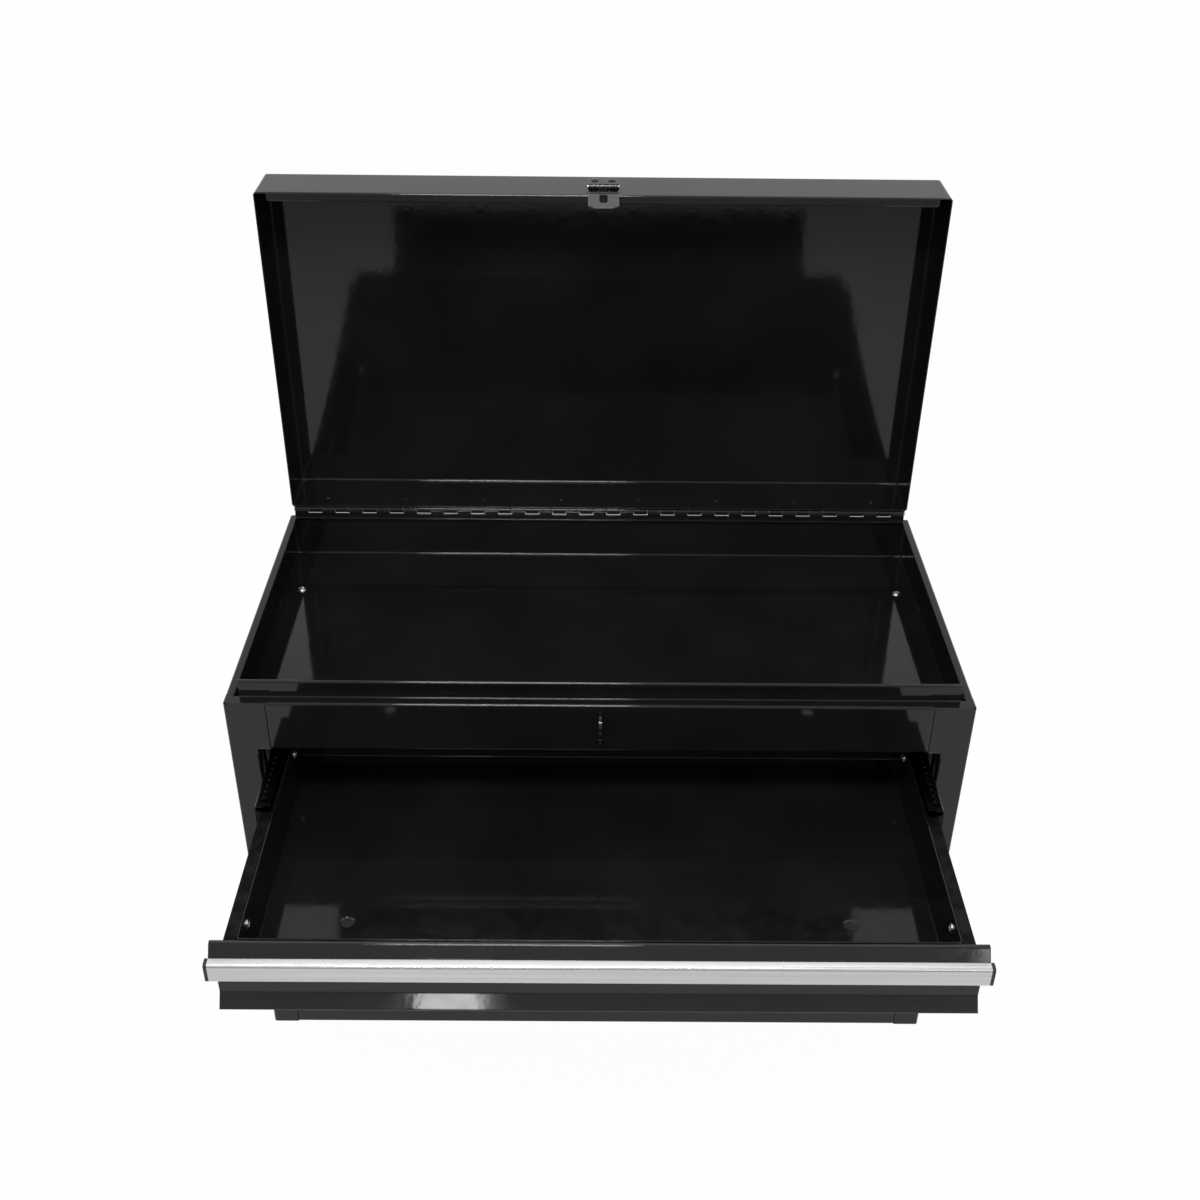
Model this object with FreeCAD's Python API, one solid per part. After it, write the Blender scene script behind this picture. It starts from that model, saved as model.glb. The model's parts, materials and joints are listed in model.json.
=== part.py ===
import FreeCAD, Part
import math
import os

os.makedirs("parts", exist_ok=True)

# ---- Case: folded sheet box, open at the front for the drawers -------------------------
case_width = 600.0
case_depth = 305.0
rim_height = 370.0
sheet = 1.0
bend = 0.8
side_rim = 7.0
rear_rim = 7.5
foot_flange = 15.0
post_width = 23.0
post_return = 12.0
post_shoulder = 10.5
seam = 0.4
fit = 0.3
step = 5.0

# ---- Front header with ledge, upstand and hem --------------------------------------------
header_height = 46.0
header_return = 15.0
ledge_depth = 9.0
ledge_corner = 3.5
upstand_height = 15.5
upstand_inset = 11.5
hem_width = 3.4
hem_drop = 9.5
hem_bend = 0.6

# ---- Base panel ----------------------------------------------------------------------------
base_rail = 20.0
base_return = 12.0
base_back_flange = 15.0
base_joggle_run = 3.0
base_joggle_gap = 1.0

# ---- Till: the open tray under the lid ------------------------------------------------------
till_depth = 41.0
till_bend = 1.5
till_rear_gap = 3.2
till_lip_drop = 2.0
till_screw_inset = 19.0
till_screw_front_y = 72.0
till_screw_rear_gap = 73.0

# ---- Uprights: hat sections that carry the slides ----------------------------------------
upright_recess = 4.4
upright_width = 30.0
upright_flange = 10.0
upright_front_y = 16.0
upright_rear_y = 30.0

# ---- Lid -------------------------------------------------------------------------------------
lid_skirt = 52.5
lid_side_inset = 2.0
lid_overhang = 3.0
lid_bend = 1.8
lid_return = 7.5
lid_return_inset = 11.0
lid_return_corner = 2.0
lid_open_deg = 89.0

# ---- Piano hinge -----------------------------------------------------------------------------
hinge_inset = 4.0
hinge_leaf = 1.5
hinge_leaf_width = 20.0
hinge_pin_d = 4.6
hinge_pin_rise = 4.0
hinge_pin_end = 1.0
hinge_standoff = 0.3
knuckle_count = 45
knuckle_gap = 0.3
knuckle_opening_deg = 65.0
pin_clearance = 0.05
notch_clearance = 0.3
hinge_notch_edge = 3.0
leaf_rivet_row = 12.0
leaf_rivet_count = 8
leaf_rivet_end = 30.0

# ---- Rivets and screws -----------------------------------------------------------------------
rivet_shank_d = 3.2
rivet_head_d = 6.5
rivet_head_h = 1.2
rivet_tail_d = 5.2
rivet_tail_h = 1.0
hole_clearance = 0.05
screw_shank_d = 3.5
screw_head_d = 8.0
screw_head_h = 2.2
screw_reach = 9.0
head_crown = 0.55

# ---- Hasp and staple -----------------------------------------------------------------------
hasp_x = 0.0
hasp_sheet = 1.2
hasp_leaf_half = 13.25
hasp_leaf_height = 29.0
hasp_tongue_half = 13.0
hasp_tongue_length = 50.0
hasp_tongue_corner = 5.0
hasp_tongue_gap = 0.1
hasp_rise = 14.0
hasp_pin_d = 3.0
hasp_pin_end = 0.5
hasp_knuckle_half = 4.7
hasp_slot_width = 6.5
hasp_slot_low = 37.0
hasp_slot_high = 15.6
hasp_rivet_row = 22.0
hasp_rivet_x = 7.5
staple_thickness = 2.5
staple_height = 17.5
staple_reach = 17.0
staple_below_rim = 4.0
staple_hole_d = 8.5
staple_hole_out = 9.5
staple_plate = 1.5
staple_plate_half = 10.0
staple_plate_drop = 40.0
staple_rivet_drop = 36.0
staple_rivet_head_h = 1.2

# ---- Drawers -----------------------------------------------------------------------------------
drawer_count = 4
first_drop = 12.3
front_height = 65.0
front_gap = 3.6
front_side_gap = 3.0
drawer_1_drawn = 208.0

# ---- Roll-formed drawer front, sizes behind the front plane and below its top edge -------
front_hook_y = 12.0
front_hook_drop = 5.8
front_crest_y = 8.2
nose_y = 0.4
nose_drop = 10.9
face_y = 12.2
face_drop = 13.5
ramp_rise = 11.5
ramp_bend = 1.5
toe_y = 4.2
toe_return_y = 11.8

# ---- Clip-on pull --------------------------------------------------------------------------
pull_wall = 2.0
pull_roof_y = 2.0
pull_roof_drop = 8.7
pull_front_y = -4.8
pull_shoulder_radius = 0.5
pull_heel_drop = 25.6
pull_heel_radius = 1.2
pull_tail_y = -0.8
pull_tail_drop = 26.6
lip_drop = 16.2
lip_thickness = 1.6
lip_end_y = 4.0
lip_ridge = 1.4
lip_root_y = -3.4
cap_thickness = 2.5

# ---- Drawer tray -------------------------------------------------------------------------------
tray_rear_gap = 31.0
tray_clear_below = 17.6
tray_top_drop = 1.2
tray_bend = 1.0
hanger_hole_d = 10.5
hanger_hole_inset = 65.1
hanger_hole_y = 75.0

# ---- Ball-bearing slides ---------------------------------------------------------------------
slide_sheet = 1.4
slide_stack = 17.0
slide_drop = 12.5
slide_bend = 0.5
inner_half = 9.5
inner_depth = 9.8
runner_half = 13.4
runner_inner_s = 2.4
runner_outer_s = 14.9
cabinet_half = 17.0
cabinet_inner_s = 4.0
slide_front_y = 14.0
slide_rear_gap = 28.0
runner_front_y = 47.0
runner_rear_gap = 30.0
runner_ratio = 0.5
runner_stop_depth = 3.0
runner_stop_length = 12.0
runner_stop_half = 8.0
cage_clearance = 0.1
cage_inner_s0 = 5.6
cage_inner_s1 = 9.4
cage_outer_s0 = 5.6
cage_outer_s1 = 12.0
cage_front_in = 6.0
cage_rear_in = 60.0
rail_screw_front_y = 39.0
rail_screw_rear_gap = 72.5
rail_screw_head_d = 7.0
rail_screw_head_h = 1.8
rail_screw_shank_d = 3.6
rail_screw_reach = 3.2

# ---- Derived planes -----------------------------------------------------------------------------
front = -case_depth / 2.0
rear = case_depth / 2.0
half = case_width / 2.0
wall_in = half - sheet
outer_bend = bend + sheet
opening_half = half - post_width
opening_top = rim_height - header_height
under_rim = rim_height - sheet
till_floor = rim_height - till_depth
till_bottom = till_floor - sheet
upright_face = opening_half - upright_recess
tray_half = upright_face - slide_stack
front_half = opening_half - front_side_gap
base_wing = sheet
base_floor = base_wing + sheet
top_1 = opening_top - first_drop
till_screw_x = half - till_screw_inset
hanger_hole_x = tray_half - hanger_hole_inset
staple_plate_low = rim_height - staple_plate_drop
staple_rivet_z = rim_height - staple_rivet_drop

AXIS_X = FreeCAD.Vector(1, 0, 0)
AXIS_Y = FreeCAD.Vector(0, 1, 0)
AXIS_Z = FreeCAD.Vector(0, 0, 1)


def spot(plane, u, v, level):
    """Point (u, v) of a drawing plane at a level along the third axis."""
    if plane == "xy":
        return FreeCAD.Vector(u, v, level)
    if plane == "xz":
        return FreeCAD.Vector(u, level, v)
    return FreeCAD.Vector(level, u, v)


def along(plane, length):
    """Vector of a length along the axis square to a drawing plane."""
    if plane == "xy":
        return AXIS_Z * length
    if plane == "xz":
        return AXIS_Y * length
    return AXIS_X * length


def unit(a, b):
    """Unit heading from point a to point b."""
    length = math.hypot(b[0] - a[0], b[1] - a[1])
    return ((b[0] - a[0]) / length, (b[1] - a[1]) / length)


def rounding(before, corner, after, radius):
    """Start, middle and end points of the arc that rounds a corner."""
    h_in = unit(before, corner)
    h_out = unit(corner, after)
    cross = h_in[0] * h_out[1] - h_in[1] * h_out[0]
    dot = h_in[0] * h_out[0] + h_in[1] * h_out[1]
    turn = abs(math.atan2(cross, dot))
    reach = radius * math.tan(turn / 2.0)
    start = (corner[0] - h_in[0] * reach, corner[1] - h_in[1] * reach)
    end = (corner[0] + h_out[0] * reach, corner[1] + h_out[1] * reach)
    bis = (h_out[0] - h_in[0], h_out[1] - h_in[1])
    size = math.hypot(bis[0], bis[1])
    sag = radius / math.cos(turn / 2.0) - radius
    middle = (corner[0] + bis[0] / size * sag, corner[1] + bis[1] / size * sag)
    return start, middle, end


def prism(plane, points, low, high, radii=None):
    """Solid prism of a closed outline whose corners carry the given radii."""
    count = len(points)
    radii = radii or [0.0] * count
    edges = []
    joints = []
    for i in range(count):
        before = points[i - 1]
        after = points[(i + 1) % count]
        if radii[i] > 0.0:
            start, middle, end = rounding(before, points[i], after, radii[i])
            arc = Part.Arc(spot(plane, *start, low), spot(plane, *middle, low), spot(plane, *end, low))
            joints.append((start, end, arc.toShape()))
        else:
            joints.append((points[i], points[i], None))
    for i in range(count):
        start = joints[i][1]
        end = joints[(i + 1) % count][0]
        if joints[i][2] is not None:
            edges.append(joints[i][2])
        if math.hypot(end[0] - start[0], end[1] - start[1]) > 1e-6:
            edges.append(Part.makeLine(spot(plane, *start, low), spot(plane, *end, low)))
    wire = Part.Wire(Part.__sortEdges__(edges))
    solid = Part.Face(wire).extrude(along(plane, high - low))
    if solid.Volume < 0:
        solid.reverse()
    return solid


def folded(plane, points, low, high, thickness=sheet, bends=bend):
    """Sheet of even thickness on the left of a path, with concentric bends."""
    last = len(points) - 1
    radii_in = list(bends) if isinstance(bends, (list, tuple)) else [bends] * (last - 1)
    headings = [unit(points[i], points[i + 1]) for i in range(last)]
    normals = [(-h[1], h[0]) for h in headings]
    offset = [(points[0][0] + normals[0][0] * thickness, points[0][1] + normals[0][1] * thickness)]
    near = [0.0]
    far = [0.0]
    for i in range(1, last):
        n_in = normals[i - 1]
        n_out = normals[i]
        share = thickness / (1.0 + n_in[0] * n_out[0] + n_in[1] * n_out[1])
        offset.append((points[i][0] + (n_in[0] + n_out[0]) * share,
                       points[i][1] + (n_in[1] + n_out[1]) * share))
        left_turn = headings[i - 1][0] * headings[i][1] - headings[i - 1][1] * headings[i][0] > 0
        inside = radii_in[i - 1]
        near.append(inside + thickness if left_turn else inside)
        far.append(inside if left_turn else inside + thickness)
    offset.append((points[last][0] + normals[-1][0] * thickness,
                   points[last][1] + normals[-1][1] * thickness))
    near.append(0.0)
    far.append(0.0)
    return prism(plane, list(points) + offset[::-1], low, high, near + far[::-1])


def block(x0, x1, y0, y1, z0, z1):
    """Plain block between two corners."""
    return Part.makeBox(x1 - x0, y1 - y0, z1 - z0, FreeCAD.Vector(x0, y0, z0))


def rod(center, direction, diameter, length):
    """Round rod that starts at a point."""
    return Part.makeCylinder(diameter / 2.0, length, center, direction)


def joined(shapes):
    """One solid from overlapping shapes, its coplanar faces merged."""
    body = shapes[0]
    for shape in shapes[1:]:
        body = body.fuse(shape)
    return body.removeSplitter()


def mirrored(shape):
    """Copy of a shape on the other side of the middle plane."""
    return shape.mirror(FreeCAD.Vector(0, 0, 0), AXIS_X)


def headed(center, direction, shank_d, length, head_d, head_h, tail_d=0.0, tail_h=0.0):
    """Fastener: crowned head seated on a point, shank along a direction, formed tail."""
    crown_d = head_d * (1.0 - head_crown)
    rim = head_h * (1.0 - head_crown)
    back = direction * -1.0
    profile = [(0.0, -length), (shank_d / 2.0, -length), (shank_d / 2.0, 0.0),
               (head_d / 2.0, 0.0), (head_d / 2.0, rim), (crown_d / 2.0, head_h), (0.0, head_h)]
    if tail_h > 0.0:
        profile = [(0.0, -length - tail_h), (tail_d / 2.0, -length - tail_h),
                   (tail_d / 2.0, -length)] + profile[1:]
    points = [FreeCAD.Vector(r, 0, z) for r, z in profile]
    wire = Part.makePolygon(points + [points[0]])
    solid = Part.Face(wire).revolve(FreeCAD.Vector(0, 0, 0), AXIS_Z, 360)
    solid = Part.Solid(solid.Shells[0])
    if solid.Volume < 0:
        solid.reverse()
    turn = FreeCAD.Rotation(AXIS_Z, back)
    solid.Placement = FreeCAD.Placement(center, turn)
    return solid


def tub(x0, x1, y0, y1, z0, z1, radius):
    """Open box of sheet with rounded bottom and upright folds."""
    outer = block(x0, x1, y0, y1, z0, z1)
    inner = block(x0 + sheet, x1 - sheet, y0 + sheet, y1 - sheet, z0 + sheet, z1 + step)
    return rounded_box(outer, radius + sheet, z1).cut(rounded_box(inner, radius, z1 + step))


def rounded_box(shape, radius, open_level):
    """Box with every fold rounded except those of the open face."""
    picked = []
    for edge in shape.Edges:
        levels = [vertex.Point.z for vertex in edge.Vertexes]
        if abs(levels[0] - open_level) > fit or abs(levels[1] - open_level) > fit:
            picked.append(edge)
    return shape.makeFillet(radius, picked)


# ---- Case panels ---------------------------------------------------------------------------------
def right_side():
    """Side wall with front post, shoulder tab, rim, foot and back flanges."""
    post = folded("xy", [(opening_half, front + post_return), (opening_half, front),
                         (half, front), (half, front + step)], 0.0, opening_top)
    neck = folded("xy", [(opening_half, front), (half, front), (half, front + step)],
                  opening_top - step, under_rim)
    tab = block(opening_half - post_shoulder, opening_half + step, front, front + sheet,
                opening_top, under_rim)
    back = folded("xy", [(half, rear - sheet - step), (half, rear - sheet),
                         (half - foot_flange, rear - sheet)], outer_bend, rim_height - outer_bend - bend)
    nose = folded("xz", [(half - foot_flange, 0.0), (half, 0.0), (half, under_rim)],
                  front + outer_bend, front + ledge_depth + step)
    main = folded("xz", [(half - foot_flange, 0.0), (half, 0.0), (half, rim_height),
                         (half - side_rim, rim_height)],
                  front + ledge_depth + seam, rear - sheet - outer_bend)
    return joined([main, nose, post, neck, tab, back])


def rear_panel():
    """Back wall with a rim folded forward."""
    body = folded("yz", [(rear, rim_height - step * 2), (rear, rim_height), (rear - rear_rim, rim_height)],
                  -half + side_rim + seam, half - side_rim - seam)
    wall = block(-half, half, rear - sheet, rear, 0.0, rim_height - outer_bend)
    drills = [rod(FreeCAD.Vector(x, rear - step, pin_z - leaf_rivet_row), AXIS_Y,
                  rivet_shank_d + 2 * hole_clearance, 2 * step) for x in rivet_places()]
    return joined([wall, body]).cut(Part.makeCompound(drills))


def base_panel():
    """Floor with a front rail and a back flange, its sides joggled up onto the foot flanges."""
    path = [(front + base_return, base_rail), (front, base_rail), (front, 0.0),
            (rear - sheet, 0.0), (rear - sheet, base_back_flange)]
    middle = folded("yz", path, -opening_half + seam, opening_half - seam)
    wing_x = wall_in - outer_bend
    high_x = half - foot_flange - base_joggle_gap
    low_x = high_x - base_joggle_run
    joggled = [(-wing_x, base_wing), (-high_x, base_wing), (-low_x, 0.0),
               (low_x, 0.0), (high_x, base_wing), (wing_x, base_wing)]
    floor = folded("xz", joggled, front + post_return + fit, rear - step)
    return joined([middle, floor])


def front_header():
    """Header plate with bottom return, ledge, upstand and folded hem."""
    ledge_end = front + ledge_depth
    hem_y = ledge_end + hem_width
    top = rim_height + upstand_height
    hem_path = [(hem_y, top - hem_drop), (hem_y, top), (ledge_end, top),
                (ledge_end, rim_height), (ledge_end - step, rim_height)]
    hem = folded("yz", hem_path, -half + upstand_inset, half - upstand_inset,
                 bends=[hem_bend, hem_bend, bend])
    plate_half = opening_half - post_shoulder - seam
    plate_path = [(ledge_end - step / 2, rim_height), (front, rim_height), (front, opening_top),
                  (front + header_return, opening_top)]
    plate = folded("yz", plate_path, -plate_half, plate_half)
    wing_start = plate_half - fit
    corner = [(wing_start, front), (wall_in, front), (wall_in, ledge_end), (wing_start, ledge_end)]
    wing = prism("xy", corner, under_rim, rim_height, [0.0, ledge_corner, 0.0, 0.0])
    notch = block(0.0, plate_half, front - step, front + outer_bend, under_rim - step, rim_height + step)
    wing = wing.cut(notch)
    slot_half = staple_thickness / 2.0 + hole_clearance
    slot = block(hasp_x - slot_half, hasp_x + slot_half, front - step, front + step,
                 staple_bottom - hole_clearance, staple_top + hole_clearance)
    drill = rod(FreeCAD.Vector(hasp_x, front - step, staple_rivet_z), AXIS_Y,
                rivet_shank_d + 2 * hole_clearance, 2 * step)
    return joined([hem, plate, wing, mirrored(wing)]).cut(Part.makeCompound([slot, drill]))


def till_pan():
    """Till tray whose front wall rises inside the hem of the header."""
    side = wall_in - sheet
    front_y = front + ledge_depth + sheet
    pan = tub(-side, side, front_y, rear - till_rear_gap, till_bottom, under_rim, till_bend)
    reach = half - upstand_inset - seam
    lip = block(-reach, reach, front_y, front_y + sheet, under_rim - step,
                rim_height + upstand_height - till_lip_drop)
    drills = [rod(FreeCAD.Vector(x, y, till_bottom - step), AXIS_Z,
                  screw_shank_d + 2 * hole_clearance, 3 * step) for x, y in till_screw_places()]
    return joined([pan, lip]).cut(Part.makeCompound(drills))


def till_screw_places():
    """Plan positions of the screws in the till floor."""
    rows = [front + till_screw_front_y, rear - till_screw_rear_gap]
    return [(side * till_screw_x, y) for side in (-1, 1) for y in rows]


def till_screws():
    """Crowned screws through the till floor into the uprights."""
    down = AXIS_Z * -1.0
    return Part.makeCompound([headed(FreeCAD.Vector(x, y, till_floor), down, screw_shank_d, screw_reach,
                                     screw_head_d, screw_head_h) for x, y in till_screw_places()])


def right_upright(low_y, screw_y):
    """Hat section between floor and till, closed by a screw tab."""
    high_y = low_y + upright_width
    web = upright_face + sheet
    path = [(wall_in, low_y - upright_flange), (wall_in, low_y + sheet), (web, low_y + sheet),
            (web, high_y - sheet), (wall_in, high_y - sheet), (wall_in, high_y + upright_flange)]
    hat = folded("xy", path, base_floor, till_bottom)
    tab_y = max(high_y, screw_y + screw_head_d)
    low_tab = min(low_y + sheet, screw_y - screw_head_d)
    tab = block(web - sheet, wall_in - sheet, low_tab, tab_y, till_bottom - sheet, till_bottom)
    drill = rod(FreeCAD.Vector(till_screw_x, screw_y, till_bottom - step), AXIS_Z,
                screw_shank_d + 2 * hole_clearance, 2 * step)
    return joined([hat, tab]).cut(drill)


# ---- Piano hinge ---------------------------------------------------------------------------------
knuckle_inner = hinge_pin_d / 2.0 + pin_clearance
knuckle_outer = knuckle_inner + hinge_leaf
pin_y = rear + hinge_standoff + knuckle_outer
pin_z = rim_height + hinge_pin_rise
hinge_half = half - hinge_inset


def rivet_places():
    """Positions of the rivets along the hinge."""
    reach = hinge_half - leaf_rivet_end
    return [-reach + 2 * reach * i / (leaf_rivet_count - 1) for i in range(leaf_rivet_count)]


def knuckle_spans(first):
    """Ends of every other knuckle, starting with the given one."""
    pitch = 2 * hinge_half / knuckle_count
    spans = []
    for i in range(first, knuckle_count, 2):
        low = -hinge_half + pitch * i
        spans.append((low + knuckle_gap / 2, low + pitch - knuckle_gap / 2))
    return spans


def curled_leaf(spans, ends, surface_y, out, axis_z, away, sizes):
    """Hinge leaf rolled round its pin at every span, notched between them.

    out is the way off the mounting face and away is the way from the pin to the plate;
    sizes holds plate thickness, plate gap, roll inner radius, roll centre, plate width and
    the distance from the pin to the edge of the notches.
    """
    thickness, gap, inner_r, center, width, edge = sizes
    outer_r = inner_r + thickness
    notch = outer_r + notch_clearance

    def place(a, b):
        return (surface_y + out * a, axis_z + away * b)

    def polar(radius, angle):
        return place(center + radius * math.cos(angle), radius * math.sin(angle))

    plate = rectangle(place(gap, edge), place(gap + thickness, width), *ends)
    sweep = rod(FreeCAD.Vector(ends[0] - step, *place(center, 0.0)), AXIS_X, 2 * notch,
                ends[1] - ends[0] + 2 * step)
    plate = plate.cut(sweep)
    start = math.pi
    end = start + 2.0 * math.pi - math.radians(knuckle_opening_deg)
    middle = (start + end) / 2.0
    pieces = [plate]
    for low, high in spans:
        root = rectangle(place(gap, 0.0), place(gap + thickness, notch + thickness), low, high)
        marks = [spot("yz", *polar(radius, angle), low)
                 for radius, angle in ((outer_r, start), (outer_r, middle), (outer_r, end),
                                       (inner_r, end), (inner_r, middle), (inner_r, start))]
        edges = [Part.Arc(marks[0], marks[1], marks[2]).toShape(), Part.makeLine(marks[2], marks[3]),
                 Part.Arc(marks[3], marks[4], marks[5]).toShape(), Part.makeLine(marks[5], marks[0])]
        roll = Part.Face(Part.Wire(edges)).extrude(AXIS_X * (high - low))
        if roll.Volume < 0:
            roll.reverse()
        bore = rod(FreeCAD.Vector(low, *place(center, 0.0)), AXIS_X, 2 * inner_r, high - low)
        pieces.append(root.cut(bore).fuse(roll))
    return joined(pieces)


def rectangle(corner_a, corner_b, low, high):
    """Block along the width from two opposite corners of its section."""
    y0, y1 = sorted((corner_a[0], corner_b[0]))
    z0, z1 = sorted((corner_a[1], corner_b[1]))
    return block(low, high, y0, y1, z0, z1)


def piano_leaf(first, away):
    """Leaf of the piano hinge, its rivet holes drilled."""
    sizes = (hinge_leaf, 0.0, knuckle_inner, hinge_standoff + knuckle_outer, hinge_leaf_width,
             hinge_notch_edge)
    leaf = curled_leaf(knuckle_spans(first), (-hinge_half, hinge_half), rear, 1.0, pin_z, away, sizes)
    drills = [rod(FreeCAD.Vector(x, rear - step, pin_z + away * leaf_rivet_row), AXIS_Y,
                  rivet_shank_d + 2 * hole_clearance, 2 * step) for x in rivet_places()]
    return leaf.cut(Part.makeCompound(drills))


def piano_rivets(away):
    """Row of rivets that clamps a leaf to its sheet."""
    row_z = pin_z + away * leaf_rivet_row
    inward = AXIS_Y * -1.0
    return Part.makeCompound([headed(FreeCAD.Vector(x, rear + hinge_leaf, row_z), inward, rivet_shank_d,
                                     hinge_leaf + sheet, rivet_head_d, rivet_head_h,
                                     rivet_tail_d, rivet_tail_h) for x in rivet_places()])


def hinge_pin():
    """Pin through every knuckle."""
    length = 2 * (hinge_half + hinge_pin_end)
    return rod(FreeCAD.Vector(-length / 2, pin_y, pin_z), AXIS_X, hinge_pin_d, length)


# ---- Lid, drawn closed ----------------------------------------------------------------------------
lid_front = front - lid_overhang
lid_half = half - lid_side_inset
lid_top = rim_height + lid_skirt


def lid_shell():
    """Shallow tray turned upside down, its front edge folded inward."""
    flat = tub(-lid_half, lid_half, lid_front, rear, -lid_top, -rim_height, lid_bend)
    shell = flat.mirror(FreeCAD.Vector(0, 0, 0), AXIS_Z)
    reach = half - lid_return_inset - sheet * 2
    shell = shell.cut(block(-reach, reach, lid_front - step, lid_front + sheet * 2,
                            rim_height - step, rim_height + outer_bend + sheet))
    path = [(lid_front, rim_height + step), (lid_front, rim_height), (lid_front + lid_return, rim_height)]
    lip = folded("yz", path, -reach, reach)
    waste = corner_waste(reach, lid_front + lid_return, lid_return_corner,
                         rim_height - step, rim_height + step)
    lip = lip.cut(Part.makeCompound([waste, mirrored(waste)]))
    drills = [rod(FreeCAD.Vector(x, rear - step, pin_z + leaf_rivet_row), AXIS_Y,
                  rivet_shank_d + 2 * hole_clearance, 2 * step) for x in rivet_places()]
    drills += [rod(FreeCAD.Vector(x, lid_front - step, hasp_axis_z + hasp_rivet_row), AXIS_Y,
                   rivet_shank_d + 2 * hole_clearance, 2 * step) for x in hasp_rivet_places()]
    return joined([shell, lip]).cut(Part.makeCompound(drills))


def corner_waste(x, y, radius, low, high):
    """Waste outside the rounded corner of a plate that lies to the left of and before it."""
    square = block(x - radius, x + radius, y - radius, y + radius, low, high)
    return square.cut(rod(FreeCAD.Vector(x - radius, y - radius, low), AXIS_Z, 2 * radius, high - low))


def swung(shape):
    """Piece of the lid turned from closed to its open stop."""
    moved = shape.copy()
    moved.rotate(FreeCAD.Vector(0, pin_y, pin_z), AXIS_X, -lid_open_deg)
    return moved


# ---- Hasp and staple ----------------------------------------------------------------------------
hasp_inner = hasp_pin_d / 2.0 + pin_clearance
hasp_outer = hasp_inner + hasp_sheet
hasp_center = hinge_standoff + hasp_outer
hasp_axis_z = rim_height + hasp_rise
hasp_axis_y = lid_front - hasp_center
staple_top = rim_height - staple_below_rim
staple_bottom = staple_top - staple_height


def hasp_rivet_places():
    """Positions of the rivets of the hasp leaf."""
    return [hasp_x - hasp_rivet_x, hasp_x + hasp_rivet_x]


def hasp_leaf():
    """Fixed leaf on the lid with two rolled knuckles."""
    inner_x = hasp_knuckle_half + knuckle_gap
    spans = [(hasp_x - hasp_leaf_half, hasp_x - inner_x), (hasp_x + inner_x, hasp_x + hasp_leaf_half)]
    sizes = (hasp_sheet, 0.0, hasp_inner, hasp_center, hasp_leaf_height, hasp_outer + notch_clearance)
    leaf = curled_leaf(spans, (hasp_x - hasp_leaf_half, hasp_x + hasp_leaf_half), lid_front, -1.0,
                       hasp_axis_z, 1.0, sizes)
    drills = [rod(FreeCAD.Vector(x, lid_front - step, hasp_axis_z + hasp_rivet_row), AXIS_Y,
                  rivet_shank_d + 2 * hole_clearance, 2 * step) for x in hasp_rivet_places()]
    return leaf.cut(Part.makeCompound(drills))


def hasp_tongue():
    """Swinging tongue with one knuckle, a long slot and clipped corners."""
    spans = [(hasp_x - hasp_knuckle_half, hasp_x + hasp_knuckle_half)]
    sizes = (hasp_sheet, hasp_tongue_gap, hasp_inner, hasp_center, hasp_tongue_length,
             hasp_outer + notch_clearance)
    leaf = curled_leaf(spans, (hasp_x - hasp_tongue_half, hasp_x + hasp_tongue_half), lid_front, -1.0,
                       hasp_axis_z, -1.0, sizes)
    slot_half = hasp_slot_width / 2.0
    high = hasp_axis_z - hasp_slot_high
    low = hasp_axis_z - hasp_slot_low
    outline = [(hasp_x - slot_half, low), (hasp_x + slot_half, low),
               (hasp_x + slot_half, high), (hasp_x - slot_half, high)]
    slot = prism("xz", outline, lid_front - 2 * step, lid_front + step, [slot_half * 0.98] * 4)
    tip = hasp_axis_z - hasp_tongue_length
    clips = []
    for side in (-1, 1):
        edge = hasp_x + side * hasp_tongue_half
        clips.append(prism("xz", [(edge, tip), (edge - side * hasp_tongue_corner, tip),
                                  (edge, tip + hasp_tongue_corner)],
                           lid_front - 2 * step, lid_front + step))
    return leaf.cut(Part.makeCompound([slot] + clips))


def hasp_pin():
    """Pin of the hasp hinge."""
    length = 2 * (hasp_leaf_half + hasp_pin_end)
    return rod(FreeCAD.Vector(hasp_x - length / 2, hasp_axis_y, hasp_axis_z), AXIS_X, hasp_pin_d, length)


def hasp_rivets():
    """Rivets that hold the fixed leaf on the lid."""
    return Part.makeCompound([headed(FreeCAD.Vector(x, lid_front - hasp_sheet, hasp_axis_z + hasp_rivet_row),
                                     AXIS_Y, rivet_shank_d, hasp_sheet + sheet, rivet_head_d,
                                     staple_rivet_head_h, rivet_tail_d, rivet_tail_h)
                              for x in hasp_rivet_places()])


def hasp_staple():
    """Padlock staple: a drilled blade on a plate behind the header."""
    nose = staple_height / 2.0
    outline = [(front + sheet + fit, staple_bottom), (front + sheet + fit, staple_top),
               (front - staple_reach, staple_top), (front - staple_reach, staple_bottom)]
    blade = prism("yz", outline, hasp_x - staple_thickness / 2, hasp_x + staple_thickness / 2,
                  [0.0, 0.0, nose * 0.98, nose * 0.98])
    hole = rod(FreeCAD.Vector(hasp_x - step, front - staple_hole_out, (staple_top + staple_bottom) / 2),
               AXIS_X, staple_hole_d, 2 * step)
    plate = block(hasp_x - staple_plate_half, hasp_x + staple_plate_half, front + sheet,
                  front + sheet + staple_plate, staple_plate_low, under_rim - outer_bend)
    drill = rod(FreeCAD.Vector(hasp_x, front - step, staple_rivet_z), AXIS_Y,
                rivet_shank_d + 2 * hole_clearance, 2 * step)
    return joined([blade, plate]).cut(Part.makeCompound([hole, drill]))


def staple_rivet():
    """Rivet through header and staple plate."""
    return headed(FreeCAD.Vector(hasp_x, front, staple_rivet_z), AXIS_Y, rivet_shank_d,
                  sheet + staple_plate, rivet_tail_d, staple_rivet_head_h, rivet_tail_d, rivet_tail_h)


# ---- Drawers, drawn closed ------------------------------------------------------------------------
def drawer_top(number):
    """Height of the top edge of a drawer front."""
    return top_1 - (number - 1) * (front_height + front_gap)


def drawer_height(number):
    """Height of a drawer front; the lowest takes what is left."""
    if number < drawer_count:
        return front_height
    return drawer_top(number) - base_rail - front_gap


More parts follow.
